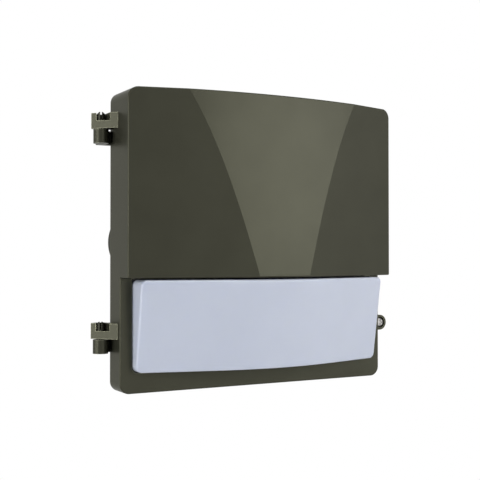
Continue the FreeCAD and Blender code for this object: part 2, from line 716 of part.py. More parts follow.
def make_door_gasket():
    """The seal ring in the door's groove."""
    body = new_body("door_gasket")
    ring = new_sketch(body, "XZ", minus(f"({SEAL_FACE} - soft_gap)"))
    draw_ring(ring, "(seal_inset + seal_clearance)", "seal_width")
    pad(body, ring, "seal_gap - soft_gap + seal_groove")
    return body


def make_hinge_pin(label, level):
    """A split pin: domed head, shank through arm and knuckle, slot across the head."""
    body = new_body(label)
    side = new_sketch(body, "XZ")
    length = "(arm_height - notch_depth + hinge_gap + knuckle_height)"
    draw_polygon(side, [
        ("0", "pin_head_height"),
        ("(pin_head_radius / 2)", "pin_head_height"),
        ("pin_head_radius", "(pin_head_height - pin_dome)"),
        ("pin_head_radius", "0"),
        ("pin_radius", "0"),
        ("pin_radius", f"(pin_chamfer - {length})"),
        ("(pin_radius - pin_chamfer)", minus(length)),
        ("0", minus(length)),
    ])
    revolve(body, side)
    slot = new_sketch(body, "XY", "pin_head_height")
    draw_polygon(slot, [
        turned_corner(f"({across} * pin_slot / 2)", f"({along} * 2 * pin_head_radius)")
        for across, along in ((-1, -1), (1, -1), (1, 1), (-1, 1))
    ])
    pocket(body, slot, "(pin_head_height - pin_slot_floor)")
    place(body, HINGE_X, HINGE_Y, f"{level} + arm_height / 2 - notch_depth")
    return body


def turned_corner(across, along):
    """A corner of the pin's slot, turned clockwise about the pin's axis."""
    return (f"({across} * cos(pin_turn) + {along} * sin(pin_turn))",
            f"({along} * cos(pin_turn) - {across} * sin(pin_turn))")


# --- Lens and light engine ---------------------------------------------------

def lens_form(body, inset):
    """The lens's solid form, inset by its wall for the hollow behind it."""
    half = f"({OPENING_HALF} - lens_gap - {inset})"
    bottom = f"({OPENING_BOTTOM} + lens_gap + {inset})"
    top = f"({HOOD_FLOOR} - lens_top_gap - {inset})"
    outline = new_sketch(body, "XZ", f"{minus(TRAY_FRONT)} - {inset}")
    draw_rounded(outline, minus(half), bottom, half, top, f"(lens_corner - {inset} / 2)")
    pad(body, outline, "hood_side_depth + brow_depth_top")
    cut_lens_front(body, inset)


def cut_lens_front(body, inset):
    """Cut the vault: two flat wings, joined by a round middle, leaning out to the top."""
    sketch = new_sketch(body, "XY")
    lean(sketch, FreeCAD.Vector(1, 0, 0), "lens_tilt")
    side = f"({OPENING_HALF} - lens_gap)"
    shift = f"({inset} / cos(facet_angle))"
    bind(sketch, "AttachmentOffset.Base.y",
         f"{FRAME_FRONT} - lens_side_depth + {inset} / cos(lens_tilt)")
    bind(sketch, "AttachmentOffset.Base.z", f"{OPENING_BOTTOM} + lens_gap")
    slope = "tan(facet_angle)"
    radius = f"(lens_nose_radius - {inset})"
    contact = f"({radius} * sin(facet_angle))"
    wide = f"({side} + door_rim)"
    wide_level = f"(door_rim * {slope} + {shift} - {inset})"
    contact_level = f"({wide_level} - ({wide} - {contact}) * {slope})"
    centre = f"({contact_level} + {radius} * cos(facet_angle))"
    front = minus("door_width")
    normal = FreeCAD.Vector(0, 0, 1)
    circle = Part.Circle(flat_vector(("0", centre)), normal, number(radius))
    spread = math.radians(number("facet_angle"))
    start = -math.pi / 2 - spread
    arc = sketch.addGeometry(Part.ArcOfCircle(circle, start, start + 2 * spread))
    corners = [
        (contact, contact_level), (wide, wide_level), (wide, front),
        (minus(wide), front), (minus(wide), wide_level), (minus(contact), contact_level),
    ]
    lines = [
        sketch.addGeometry(Part.LineSegment(flat_vector(first), flat_vector(second)))
        for first, second in zip(corners, corners[1:])
    ]
    for first, second in zip(lines, lines[1:]):
        sketch.addConstraint(Sketcher.Constraint("Coincident", first, 2, second, 1))
    sketch.addConstraint(Sketcher.Constraint("Coincident", arc, 2, lines[0], 1))
    sketch.addConstraint(Sketcher.Constraint("Coincident", lines[-1], 2, arc, 1))
    for line, corner in zip(lines, corners):
        pin_point(sketch, line, 1, corner)
    pin_point(sketch, lines[-1], 2, corners[-1])
    hold_radius(sketch, arc, radius)
    pocket(body, sketch, LONG_CUT, midplane=True)


def make_lens():
    """The lens: a hollow vault with a flange behind the door's frame."""
    core = new_body("lens_core")
    lens_form(core, "lens_wall")
    body = new_body("lens")
    lens_form(body, "0")
    round_lens(body)
    flange = new_sketch(body, "XZ", minus(TRAY_FRONT))
    draw_rounded(flange, minus(LENS_FLANGE_HALF), LENS_FLANGE_BOTTOM, LENS_FLANGE_HALF,
                 LENS_FLANGE_TOP, "lens_corner")
    pad(body, flange, "lens_flange")
    hollow = body.newObject("PartDesign::Boolean", "lens_hollow")
    hollow.Type = "Cut"
    hollow.setObjects([core])
    settled(hollow)
    return body


def round_lens(body):
    """Round the edges all round the lens's front face."""
    small = number("(1.5 * lens_corner)")

    def wanted(edge):
        box = edge.BoundBox
        upright = box.XLength < TINY and box.ZLength > small
        across = box.XLength > small and box.ZLength < small
        corner = box.XLength < small and TINY < box.ZLength < small
        forward = box.YMax < number(f"({FRAME_FRONT} - lens_gap)")
        return forward and (upright or across or corner)

    fillet(body, wanted, "lens_round")


def make_lens_gasket():
    """The seal between the lens flange and the door's frame, with a lip round the lens."""
    body = new_body("lens_gasket")
    sheet = new_sketch(body, "XZ", minus(FLANGE_FRONT))
    draw_rounded(sheet, minus(LENS_FLANGE_HALF), LENS_FLANGE_BOTTOM, LENS_FLANGE_HALF,
                 LENS_FLANGE_TOP, "lens_corner")
    draw_rounded(sheet, minus(OPENING_HALF), OPENING_BOTTOM, OPENING_HALF,
                 HOOD_FLOOR, "frame_corner")
    pad(body, sheet, "lens_seal")
    lip = new_sketch(body, "XZ", minus(FLANGE_FRONT))
    draw_rounded(lip, minus(OPENING_HALF), OPENING_BOTTOM, OPENING_HALF,
                 HOOD_FLOOR, "frame_corner")
    half = f"({OPENING_HALF} - lens_gap + seal_clearance)"
    draw_rounded(lip, minus(half), f"({OPENING_BOTTOM} + lens_gap - seal_clearance)", half,
                 f"({HOOD_FLOOR} - lens_top_gap + seal_clearance)", "lens_corner")
    pad(body, lip, "(lens_seal + door_wall - lip_sink)")
    return body


def make_led_tray():
    """The tray that clamps the lens flange and carries the light board."""
    body = new_body("led_tray")
    sheet = new_sketch(body, "XZ", minus(f"({TRAY_FRONT} + tray_thickness)"))
    half = f"({CAVITY_HALF_WIDTH} - tray_gap)"
    draw_rounded(sheet, minus(half), f"(tray_gap - {CAVITY_HALF_HEIGHT})", half,
                 f"({HOOD_FLOOR} + door_wall + tray_top)", CAVITY_CORNER)
    pad(body, sheet, "tray_thickness")
    holes = new_sketch(body, "XZ", minus(TRAY_FRONT))
    for column, level in tray_screw_spots() + board_screw_spots():
        draw_circle(holes, (column, level), "(small_screw + 2 * thread_clearance)")
    pocket(body, holes, "2 * tray_thickness")
    return body


def tray_screw_spots():
    """Two screws above and three below, as pairs of expressions."""
    above = [(f"({side} * tray_boss_spread)", TRAY_SCREW_TOP) for side in (-1, 1)]
    below = [(f"({side} * tray_boss_spread)", TRAY_SCREW_BOTTOM) for side in (-1, 0, 1)]
    return above + below


def board_screw_spots():
    """The four corners of the light board, as pairs of expressions."""
    return [
        (f"({across} * (board_width / 2 - board_margin_side))",
         f"({BOARD_LEVEL} + {up} * (board_height / 2 - board_margin))")
        for across in (-1, 1)
        for up in (-1, 1)
    ]


def make_reflector():
    """The white pan round the board, open to the front."""
    body = new_body("reflector")
    half = f"({OPENING_HALF} - lens_gap - lens_wall - lens_corner)"
    bottom = f"({OPENING_BOTTOM} + lens_gap + lens_wall + lens_corner)"
    top = f"({HOOD_FLOOR} - lens_top_gap - lens_wall - lens_corner)"
    rim = new_sketch(body, "XZ", minus(TRAY_FRONT))
    draw_rounded(rim, minus(half), bottom, half, top, "lens_corner")
    pad(body, rim, "reflector_depth")
    well = body.newObject("PartDesign::SubtractiveLoft", "reflector_well")
    wide = new_sketch(body, "XZ", f"{minus(TRAY_FRONT)} + reflector_depth")
    draw_rounded(wide, f"(reflector_rim - {half})", f"({bottom} + reflector_rim)",
                 f"({half} - reflector_rim)", f"({top} - reflector_rim)",
                 "(lens_corner - reflector_rim)")
    narrow = new_sketch(body, "XZ", minus(TRAY_FRONT))
    near_board = "(board_width / 2 + reflector_rim)"
    draw_rounded(narrow, minus(near_board), f"({BOARD_LEVEL} - board_height / 2 - reflector_rim)",
                 near_board, f"({BOARD_LEVEL} + board_height / 2 + reflector_rim)",
                 "(lens_corner - reflector_rim)")
    well.Profile = wide
    well.Sections = [narrow]
    well.Ruled = True
    settled(well)
    return body


def make_flat_part(label, depth, thickness, margin):
    """A thin sheet of the board's outline, in front of the tray."""
    body = new_body(label)
    sheet = new_sketch(body, "XZ", f"{minus(TRAY_FRONT)} + {depth}")
    draw_rectangle(sheet, f"({margin} - board_width / 2)",
                   f"({BOARD_LEVEL} - board_height / 2 + {margin})",
                   f"(board_width / 2 - {margin})",
                   f"({BOARD_LEVEL} + board_height / 2 - {margin})")
    for spot_across, spot_up in board_screw_spots():
        draw_circle(sheet, (spot_across, spot_up), "(small_screw + 2 * thread_clearance)")
    pad(body, sheet, thickness)
    return body


def make_led_chips():
    """The rows of light chips on the board."""
    chips = []
    for row in range(int(number("chip_rows"))):
        for column in range(int(number("chip_columns"))):
            chip = DOC.addObject("Part::Box", "chip")
            bind(chip, "Length", "chip_size")
            bind(chip, "Width", "chip_height")
            bind(chip, "Height", "chip_size")
            across = f"({column} - (chip_columns - 1) / 2) * chip_column_spacing"
            up = f"({row} - (chip_rows - 1) / 2) * chip_row_spacing"
            place(chip, f"{across} - chip_size / 2",
                  f"{TRAY_FRONT} - pad_thickness - board_thickness - chip_height",
                  f"{BOARD_LEVEL} + {up} - chip_size / 2")
            chips.append(chip)
    item = DOC.addObject("Part::Compound", "led_chips")
    item.Label = "led_chips"
    item.Links = chips
    return item


def make_board_connector():
    """A small two-pole connector at the left end of the board."""
    body = new_body("board_connector")
    outline = new_sketch(body, "XZ")
    draw_rectangle(outline, "(-connector_width / 2)", "(-connector_height / 2)",
                   "(connector_width / 2)", "(connector_height / 2)")
    pad(body, outline, "connector_depth")
    ports = new_sketch(body, "YZ", "(connector_width / 2)")
    for side in (-1, 1):
        draw_circle(ports, ("(-connector_depth / 2)", f"({side} * connector_height / 4)"),
                    "connector_port")
    pocket(body, ports, "connector_width / 2")
    place(body, "(connector_width - board_width) / 2 + connector_inset",
          f"{TRAY_FRONT} - pad_thickness - board_thickness", BOARD_LEVEL)
    return body


# --- Screws ------------------------------------------------------------------

def make_screw(label, shank, head, head_height, length):
    """A pan-head screw with a cross recess, seat at its origin, tip towards +Y."""
    body = new_body(label)
    side = new_sketch(body, "XY")
    draw_polygon(side, [
        ("0", minus(head_height)),
        (f"({head} * head_flat)", minus(head_height)),
        (head, f"(-{head_height} * head_edge)"),
        (head, "0"),
        (shank, "0"),
        (shank, f"({length} - {shank} * (1 - tip_share))"),
        (f"({shank} * tip_share)", length),
        ("0", length),
    ])
    revolve(body, side)
    long = f"({head} * cross_length)"
    short = f"({head} * cross_width)"
    for across, up in ((long, short), (short, long)):
        slot = new_sketch(body, "XZ", head_height)
        draw_rectangle(slot, minus(across), minus(up), across, up)
        pocket(body, slot, f"{head_height} / 2")
    return body


def make_closure_screw(label, level):
    """A captive closure screw in its lug."""
    length = "(lug_depth - screw_sink + lug_setback + seal_gap + screw_grip)"
    body = make_screw(label, "screw_radius", "screw_head_radius", "screw_head_height", length)
    place(body, LUG_X, SCREW_SEAT, level)
    return body


def make_closure_washer(label, level):
    """The washer that keeps a closure screw in its lug."""
    body = new_body(label)
    ring = new_sketch(body, "XZ")
    draw_circle(ring, ("0", "0"), "washer_radius")
    draw_circle(ring, ("0", "0"), "(screw_radius + thread_clearance)")
    pad(body, ring, "washer_thickness")
    place(body, LUG_X, "-box_depth - lug_setback", level)
    return body


def small_screw_master(label, length):
    """A small fixing screw to be copied into a group."""
    return make_screw(label, "small_screw", "small_head", "small_head_height", length)


def make_tray_screws():
    """Screws through the tray into the door, driven from behind."""
    master = small_screw_master("tray_screw", "(tray_thickness + small_screw_depth - blind_end)")
    turned = FreeCAD.Rotation(FreeCAD.Vector(0, 0, 1), 180)
    rear = f"({TRAY_FRONT} + tray_thickness)"
    return group("tray_screws", master,
                 [spot(x, rear, z, turned) for x, z in tray_screw_spots()])


def make_board_screws():
    """Screws through the board and its pad into the tray."""
    seat = f"({TRAY_FRONT} - pad_thickness - board_thickness)"
    master = small_screw_master("board_screw", "(pad_thickness + board_thickness + tray_thickness)")
    return group("board_screws", master, [spot(x, seat, z) for x, z in board_screw_spots()])


# --- Back box ----------------------------------------------------------------

def make_back_box():
    """The back box casting: tray, flange, bosses, entries, knuckles and lugs."""
    body = new_body("back_box")
    shell = new_sketch(body, "XZ")
    draw_rounded(shell, "(-box_width / 2)", "(-box_height / 2)", "(box_width / 2)",
                 "(box_height / 2)", "box_corner")
    pad(body, shell, "box_depth - seal_gap")
    flange = new_sketch(body, "XZ", "(box_depth - seal_gap - flange_thickness)")
    draw_rounded(flange, f"(flange_inset - {HALF_WIDTH})", f"(flange_inset - {HALF_HEIGHT})",
                 f"({HALF_WIDTH} - flange_inset)", f"({HALF_HEIGHT} - flange_inset)",
                 "(door_corner - flange_inset + seal_bend)")
    pad(body, flange, "flange_thickness")
    for level in (HINGE_HIGH, HINGE_LOW):
        add_knuckle(body, level)
    add_box_lugs(body)
    inside = new_sketch(body, "XZ", minus(SEAL_FACE))
    draw_rounded(inside, "(box_wall - box_width / 2)", "(box_wall - box_height / 2)",
                 "(box_width / 2 - box_wall)", "(box_height / 2 - box_wall)",
                 "(box_corner - box_wall)")
    pocket(body, inside, "box_depth - seal_gap - box_wall")
    add_box_bosses(body)
    cut_wall_holes(body)
    add_conduit_entries(body)
    return body


def add_knuckle(body, level):
    """A hinge knuckle below its arm, on a bracket that comes round the door's edge."""
    top = f"({level} - arm_height / 2 - hinge_gap)"
    base = f"({top} - knuckle_height)"
    forward = "(-box_depth + seal_gap + flange_thickness)"
    rear = f"({forward} + bracket_width)"
    inner = f"({HINGE_X} + knuckle_radius)"
    root = "(box_wall / 2 - box_width / 2)"
    arm = new_sketch(body, "XY", base)
    draw_polygon(arm, [
        (root, rear), (root, forward), (inner, forward), (inner, HINGE_Y),
        (HINGE_X, HINGE_Y), (HINGE_X, rear),
    ])
    pad(body, arm, "knuckle_height")
    knuckle = new_sketch(body, "XY", base)
    draw_circle(knuckle, (HINGE_X, HINGE_Y), "knuckle_radius")
    pad(body, knuckle, "knuckle_height")
    bore = new_sketch(body, "XY", top)
    draw_circle(bore, (HINGE_X, HINGE_Y), "(pin_radius + thread_clearance)")
    pocket(body, bore, "2 * knuckle_height")


def add_box_lugs(body):
    """Threaded lugs behind the lugs of the door."""
    rear = "(box_depth - seal_gap - box_lug_depth)"
    lugs = new_sketch(body, "XZ", rear)
    webs = new_sketch(body, "XZ", rear)
    threads = new_sketch(body, "XZ", minus(SEAL_FACE))
    for level in (LUG_HIGH, LUG_LOW):
        draw_circle(lugs, (LUG_X, level), "box_lug_radius")
        draw_rectangle(webs, "(box_width / 2 - box_wall / 2)", f"({level} - box_lug_radius)",
                       LUG_X, f"({level} + box_lug_radius)")
        draw_circle(threads, (LUG_X, level), "(screw_radius + thread_clearance)")
    pad(body, lugs, "box_lug_depth")
    pad(body, webs, "box_lug_depth")
    pocket(body, threads, "2 * box_lug_depth")


def driver_screw_spots():
    """One screw in each foot of the driver's base."""
    return [
        (f"({side} * (driver_width / 2 + driver_foot / 2))", "driver_level")
        for side in (-1, 1)
    ]


def terminal_screw_spots():
    """One fixing screw at each end of the terminal block."""
    return [
        (f"({side} * (terminal_width / 2 - terminal_margin))", "terminal_level")
        for side in (-1, 1)
    ]


def add_box_bosses(body):
    """Bosses for the driver, the terminal block and the ground screw."""
    spots = driver_screw_spots() + terminal_screw_spots() + [("ground_side", "ground_level")]
    bosses = new_sketch(body, "XZ", "(box_wall / 2)")
    threads = new_sketch(body, "XZ", "(box_wall + boss_height)")
    for centre in spots:
        draw_circle(bosses, centre, "boss_radius")
        draw_circle(threads, centre, "(small_screw + thread_clearance)")
    pad(body, bosses, "box_wall / 2 + boss_height")
    pocket(body, threads, "boss_height + blind_end")


def cut_wall_holes(body):
    """Four wall holes, two junction box holes and the rear wire entry."""
    holes = new_sketch(body, "XZ", "box_wall")
    for across in (-1, 1):
        for up in (-1, 1):
            centre = (f"({across} * wall_hole_width / 2)", f"({up} * wall_hole_height / 2)")
            draw_circle(holes, centre, "wall_hole")
        draw_circle(holes, (f"({across} * outlet_spacing / 2)", "0"), "outlet_hole")
    draw_circle(holes, ("0", "0"), "rear_entry")
    pocket(body, holes, "2 * box_wall")


def add_conduit_entries(body):
    """Threaded entries with inner bosses: left, right and below."""
    side = "(box_width / 2 - box_wall / 2)"
    for direction in (-1, 1):
        inner = f"({direction} * {side})"
        boss = new_sketch(body, "YZ", inner)
        draw_circle(boss, ("(-conduit_setback)", "0"), "conduit_boss")
        rise = pad(body, boss, "conduit_boss_height + box_wall / 2")
        rise.Reversed = direction > 0
        settled(rise)
        hole = new_sketch(body, "YZ", f"({direction} * (box_width / 2 + cut_margin))")
        draw_circle(hole, ("(-conduit_setback)", "0"), "conduit_bore")
        cut_entry(body, hole, direction < 0)
    boss = new_sketch(body, "XY", "(box_wall / 2 - box_height / 2)")
    draw_circle(boss, ("0", "(-conduit_setback)"), "conduit_boss")
    pad(body, boss, "conduit_boss_height + box_wall / 2")
    hole = new_sketch(body, "XY", "(-box_height / 2 - cut_margin)")
    draw_circle(hole, ("0", "(-conduit_setback)"), "conduit_bore")
    cut_entry(body, hole, True)


def cut_entry(body, sketch, reverse):
    """Cut one entry through its wall and boss."""
    pocket(body, sketch, "box_wall + conduit_boss_height + 2 * cut_margin", reverse=reverse)


def plug_spots(gap):
    """The outward ends of the three entries, each turned to face its own way."""
    setback = "(-conduit_setback)"
    side = f"(box_width / 2 + {gap})"
    low = f"(-box_height / 2 - {gap})"
    return [
        spot(minus(side), setback, "0", FreeCAD.Rotation(FreeCAD.Vector(0, 1, 0), -90)),
        spot(side, setback, "0", FreeCAD.Rotation(FreeCAD.Vector(0, 1, 0), 90)),
        spot("0", setback, low, FreeCAD.Rotation(FreeCAD.Vector(1, 0, 0), 180)),
    ]


def make_conduit_plugs():
    """Threaded plugs with a slotted, bevelled head in the three entries."""
    body = new_body("conduit_plug")
    side = new_sketch(body, "XZ")
    length = "(plug_seal + box_wall + conduit_boss_height)"
    thread = "(conduit_bore - thread_clearance)"
    draw_polygon(side, [
        ("0", "plug_head"), ("(plug_flange - plug_bevel)", "plug_head"),
        ("plug_flange", "plug_edge"), ("plug_flange", "0"),
        (thread, "0"), (thread, minus(length)),
        ("(conduit_bore - plug_wall)", minus(length)), ("(conduit_bore - plug_wall)", "0"),
        ("0", "0"),
    ])
    revolve(body, side)
    slot = new_sketch(body, "XY", "plug_head")
    draw_rectangle(slot, "(-plug_slot_length / 2)", "(-plug_slot_width / 2)",
                   "(plug_slot_length / 2)", "(plug_slot_width / 2)")
    pocket(body, slot, "plug_head / 2")
    return group("conduit_plugs", body, plug_spots("plug_seal"))


def make_plug_gaskets():
    """Flat rings under the plugs' heads."""
    body = new_body("plug_gasket")
    ring = new_sketch(body, "XY")
    draw_circle(ring, ("0", "0"), "(plug_flange - plug_seal)")
    draw_circle(ring, ("0", "0"), "(conduit_bore + plug_seal)")
    pad(body, ring, "plug_seal")
    return group("plug_gaskets", body, plug_spots("0"))


def make_driver_base():
    """The driver's base plate with a foot at each end."""
    body = new_body("led_driver_base")
    plate = new_sketch(body, "XZ", "(box_wall + boss_height)")
    half = "(driver_width / 2 + driver_foot)"
    draw_rounded(plate, minus(half), "(driver_level - driver_height / 2)", half,
                 "(driver_level + driver_height / 2)", "small_head")
    for centre in driver_screw_spots():
        draw_circle(plate, centre, "(small_screw + 2 * thread_clearance)")
    pad(body, plate, "driver_plate")
    return body


def make_driver_case():
    """The driver's case, a folded lid with bevelled long edges."""
    body = new_body("led_driver_case")
    section = new_sketch(body, "YZ")
    rear = "(-box_wall - boss_height - driver_plate)"
    front = f"({rear} - driver_depth)"
    low = "(driver_level - driver_height / 2)"
    high = "(driver_level + driver_height / 2)"
    draw_polygon(section, [
        (rear, low), (rear, high), (f"({front} + driver_plate * 2)", high),
        (front, f"({high} - driver_plate * 2)"), (front, f"({low} + driver_plate * 2)"),
        (f"({front} + driver_plate * 2)", low),
    ])
    pad(body, section, "driver_width", midplane=True)
    return body


def make_driver_screws():
    """The screws in the feet of the driver's base."""
    master = small_screw_master("driver_screw", "(driver_plate + boss_height)")
    seat = "(-box_wall - boss_height - driver_plate)"
    return group("driver_screws", master, [spot(x, seat, z) for x, z in driver_screw_spots()])


def terminal_ports():
    """The three terminals, as places across the block."""
    return [f"({step} * terminal_pitch)" for step in (-1, 0, 1)]


def make_terminal_block():
    """A three-pole block for the supply, with its wire ports below."""
    body = new_body("terminal_block")
    rear = "(box_wall + boss_height)"
    block = new_sketch(body, "XZ", rear)
    draw_rectangle(block, "(-terminal_width / 2)", "(terminal_level - terminal_height / 2)",
                   "(terminal_width / 2)", "(terminal_level + terminal_height / 2)")
    for centre in terminal_screw_spots():
        draw_circle(block, centre, "(small_screw + 2 * thread_clearance)")
    pad(body, block, "terminal_depth")
    wires = new_sketch(body, "XY", "(terminal_level - terminal_height / 2)")
    clamps = new_sketch(body, "XZ", f"({rear} + terminal_depth)")
    shafts = new_sketch(body, "XZ", f"({rear} + terminal_depth)")
    for across in terminal_ports():
        draw_circle(wires, (across, f"(-{rear} - terminal_depth / 2)"), "terminal_port")
        draw_circle(clamps, (across, "terminal_level"), "(small_head + thread_clearance)")
        draw_circle(shafts, (across, "terminal_level"), "(small_screw + thread_clearance)")
    pocket(body, wires, "terminal_port_depth", reverse=True)
    pocket(body, clamps, "small_head_height")
    pocket(body, shafts, "terminal_depth / 2")
    return body


def make_terminal_clamp_screws():
    """The screws that clamp the supply wires, flush in their wells."""
    master = small_screw_master("terminal_clamp_screw", "clamp_length")
    seat = "(-box_wall - boss_height - terminal_depth + small_head_height)"
    return group("terminal_clamp_screws", master,
                 [spot(x, seat, "terminal_level") for x in terminal_ports()])


def make_terminal_fixing_screws():
    """The screws that hold the terminal block on its bosses."""
    length = "(terminal_depth + boss_height)"
    master = small_screw_master("terminal_fixing_screw", length)
    seat = "(-box_wall - boss_height - terminal_depth)"
    return group("terminal_fixing_screws", master,
                 [spot(x, seat, z) for x, z in terminal_screw_spots()])


def make_ground_washer():
    """The cupped washer that holds the ground wire."""
    body = new_body("ground_washer")
    ring = new_sketch(body, "XZ", "(box_wall + boss_height)")
    draw_circle(ring, ("ground_side", "ground_level"), "(boss_radius - 2 * thread_clearance)")
    draw_circle(ring, ("ground_side", "ground_level"), "(small_screw + 2 * thread_clearance)")
    pad(body, ring, "ground_plate")
    return body


def make_ground_screw():
    """The ground screw in its boss."""
    body = small_screw_master("ground_screw", "(boss_height + ground_plate)")
    place(body, "ground_side", "-box_wall - boss_height - ground_plate", "ground_level")
    return body


def build():
    """Make every piece and return the document objects that are handed on."""
    return [
        make_door(),
        make_door_gasket(),
        make_hinge_pin("hinge_pin_upper", HINGE_HIGH),
        make_hinge_pin("hinge_pin_lower", HINGE_LOW),
        make_lens(),
        make_lens_gasket(),
        make_led_tray(),
        make_tray_screws(),
        make_reflector(),
        make_flat_part("thermal_pad", "0", "pad_thickness", "0"),
        make_flat_part("led_board", "pad_thickness", "board_thickness", "0"),
        make_led_chips(),
        make_board_screws(),
        make_board_connector(),
        make_closure_screw("closure_screw_upper", LUG_HIGH),
        make_closure_screw("closure_screw_lower", LUG_LOW),
        make_closure_washer("closure_washer_upper", LUG_HIGH),
        make_closure_washer("closure_washer_lower", LUG_LOW),
        make_back_box(),
        make_conduit_plugs(),
        make_plug_gaskets(),
        make_driver_base(),
        make_driver_case(),
        make_driver_screws(),
        make_terminal_block(),
        make_terminal_clamp_screws(),
        make_terminal_fixing_screws(),
        make_ground_washer(),
        make_ground_screw(),
    ]


def check(pieces):
    """Refuse a document with a failed object or a piece that isn't a valid solid."""
    for item in DOC.Objects:
        if "Invalid" in item.State or "Error" in item.State:
            raise RuntimeError(f"{item.Name} failed")
    for piece in pieces:
        if piece.Shape.isNull() or not piece.Shape.isValid() or not piece.Shape.Solids:
            raise RuntimeError(f"{piece.Label} is not a valid solid")


fill_sheet()
PIECES = build()
DOC.recompute()
check(PIECES)
os.makedirs("parts", exist_ok=True)
for piece in PIECES:
    piece.Shape.exportStep(f"parts/{piece.Label}.step")
    print(piece.Label, len(piece.Shape.Solids), round(piece.Shape.Volume, 1))
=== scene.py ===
"""The looks of the wall pack light: finishes, camera, light and floor."""

import json
import math

import bpy
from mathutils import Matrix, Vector

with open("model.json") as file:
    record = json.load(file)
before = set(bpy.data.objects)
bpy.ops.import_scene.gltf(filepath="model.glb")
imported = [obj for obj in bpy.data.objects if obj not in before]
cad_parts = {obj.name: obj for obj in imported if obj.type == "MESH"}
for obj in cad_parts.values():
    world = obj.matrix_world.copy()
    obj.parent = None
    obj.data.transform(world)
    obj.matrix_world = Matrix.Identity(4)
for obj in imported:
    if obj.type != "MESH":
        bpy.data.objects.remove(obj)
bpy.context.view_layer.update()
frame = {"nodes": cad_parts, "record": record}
nodes = frame["nodes"]

# Lengths are in metres, angles in degrees, powers in watts.

# Camera: the photograph's view of the door, from its left front
CAMERA_PLACE = (-0.40145, -0.76689, -0.01099)
CAMERA_TURN = 28.57
CAMERA_RISE = 0.94
CAMERA_LENS_MM = 68.9
FILM_WIDTH_MM = 36.0

# Stage
FLOOR_DROP = 0.75
FLOOR_SIZE = 12.0
FLOOR_COLOUR = (0.86, 0.86, 0.86)
WHITE = (1.0, 1.0, 1.0)
FILL_LIGHT = 0.02

# Softboxes: name, (turn to the right of straight in front, rise), (width, height), power
LAMP_DISTANCE = 2.2
LAMPS = (
    ("front_right", (31, 12), (1.87, 0.98), 32.5),
    ("above", (0, 60), (2.2, 1.4), 12.5),
    ("low_right", (52, -20), (1.2, 0.7), 5.5),
    ("left", (-70, 2), (0.35, 1.1), 20),
    ("far_left", (-95, 0), (0.35, 1.1), 11),
)

# Noise: cell sizes, detail, and the range of its values that ramp() spreads out
MOTTLE_SIZE = 0.03
PATCH_SIZE = 0.006
BROAD_DETAIL = 3.0
FINE_DETAIL = 2.0
NOISE_LOW = 0.3
NOISE_HIGH = 0.7
GLOSS_SPREAD = 0.03

# Edges: cosines between the flat and the rounded normal where the rubbed wear and painted
# edge highlight start and are full
WEAR_AND_HIGHLIGHT_STARTS = 0.998
WEAR_AND_HIGHLIGHT_FULL = 0.96
WEAR_AND_HIGHLIGHT_LEAST = 0.5
WEAR_AND_HIGHLIGHT_SAMPLES = 6
SOFT_SAMPLES = 8

BRONZE = (0.0415, 0.0415, 0.0295)
DARK_BRONZE = (0.026, 0.026, 0.02)

# Powder coats by slot: colour, roughness, and how much lighter the edges are, a painted
# highlight along with rubbed wear
BRONZE_FINISHES = {
    # The casting's edges 4.5 times lighter: a painted highlight line along them, with some
    # rubbed wear
    "bronze_casting": (BRONZE, 0.34, 4.5),
    "bronze_plug": (DARK_BRONZE, 0.34, 1.8),
    "bronze_pin": (DARK_BRONZE, 0.38, 2.5),
}

# Other finishes by slot, as arguments of plain_finish
PLAIN_FINISHES = {
    "black_rubber": {"colour": (0.02, 0.02, 0.021), "roughness": 0.6},
    "grey_silicone": {"colour": (0.30, 0.30, 0.31), "roughness": 0.55},
    "sheet_steel": {"colour": (0.56, 0.57, 0.58), "roughness": 0.36, "metallic": 1.0,
                    "grain": 0.002, "stretch": (1.0, 1.0, 8.0)},
    "driver_shell": {"colour": (0.74, 0.74, 0.72), "roughness": 0.42},
    "steel_screw": {"colour": (0.55, 0.55, 0.56), "roughness": 0.33, "metallic": 1.0},
    "bright_screw": {"colour": (0.27, 0.265, 0.255), "roughness": 0.3, "metallic": 1.0},
    "cream_plastic": {"colour": (0.72, 0.69, 0.60), "roughness": 0.5},
    "brass_washer": {"colour": (0.74, 0.56, 0.25), "roughness": 0.34, "metallic": 1.0},
    "green_screw": {"colour": (0.03, 0.30, 0.09), "roughness": 0.35, "metallic": 0.6},
    "bare_aluminium": {"colour": (0.72, 0.73, 0.74), "roughness": 0.4, "metallic": 1.0,
                       "grain": 0.0025, "stretch": (0.15, 1.0, 1.0)},
    "white_reflector": {"colour": (0.85, 0.85, 0.85), "roughness": 0.35},
    "thermal_pad": {"colour": (0.42, 0.44, 0.48), "roughness": 0.7},
    "white_board": {"colour": (0.84, 0.85, 0.84), "roughness": 0.35},
    "yellow_chip": {"colour": (0.86, 0.62, 0.16), "roughness": 0.3, "grain": 0.0006},
    "white_nylon": {"colour": (0.78, 0.78, 0.75), "roughness": 0.5},
}


# --- Materials ---------------------------------------------------------------

def new_material(name):
    """An empty node material with its shader and output."""
    material = bpy.data.materials.new(name)
    material.use_nodes = True
    tree = material.node_tree
    tree.nodes.clear()
    output = tree.nodes.new("ShaderNodeOutputMaterial")
    shader = tree.nodes.new("ShaderNodeBsdfPrincipled")
    tree.links.new(shader.outputs["BSDF"], output.inputs["Surface"])
    return material, tree, shader


def noise(tree, size, detail, stretch=None):
    """Noise in the object's own space with cells of about the given size."""
    place = tree.nodes.new("ShaderNodeTexCoord")
    texture = tree.nodes.new("ShaderNodeTexNoise")
    texture.inputs["Scale"].default_value = 1.0 / size
    texture.inputs["Detail"].default_value = detail
    if stretch is None:
        tree.links.new(place.outputs["Object"], texture.inputs["Vector"])
    else:
        mapping = tree.nodes.new("ShaderNodeMapping")
        mapping.inputs["Scale"].default_value = stretch
        tree.links.new(place.outputs["Object"], mapping.inputs["Vector"])
        tree.links.new(mapping.outputs["Vector"], texture.inputs["Vector"])
    return texture.outputs["Fac"]


